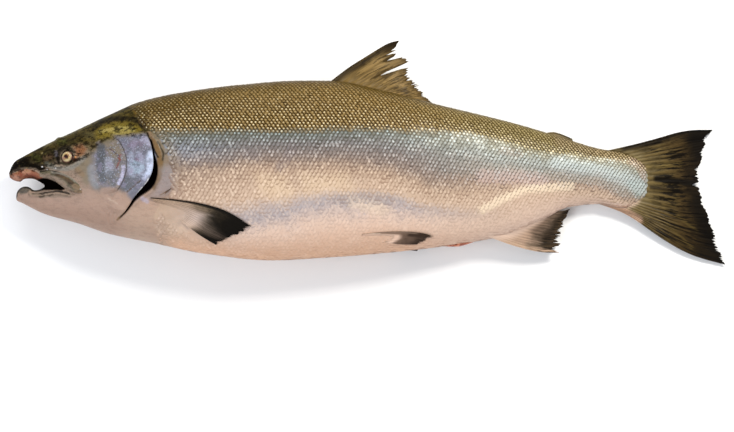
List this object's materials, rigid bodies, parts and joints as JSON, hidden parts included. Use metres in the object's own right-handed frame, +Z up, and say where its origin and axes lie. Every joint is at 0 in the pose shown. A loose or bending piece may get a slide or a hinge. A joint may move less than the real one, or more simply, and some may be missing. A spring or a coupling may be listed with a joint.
{
  "type": "whole raw salmon",
  "caption": "Whole raw salmon lying on its right flank: open hooked jaws, gill cover, tapering scaly body, folded side fins, ribbed dorsal, anal and tail fins, and eyes.",
  "frame": {"origin": "middle of the bounding box in X and Y, on the table under the fish", "axes": "+X from the head to the tail, +Y from the belly to the back, +Z up out of the left flank that shows"},
  "size_m": [0.6626, 0.2072, 0.0765],
  "materials": {
    "skin": "wet scaly fish skin: olive back, silver flank, pale pinkish belly",
    "eye": "wet and glossy, cream-gold iris round a dark pupil"
  },
  "bodies": {
    "root": {"salmon": "skin", "left_eye": "eye", "right_eye": "eye"}
  },
  "joints": []
}
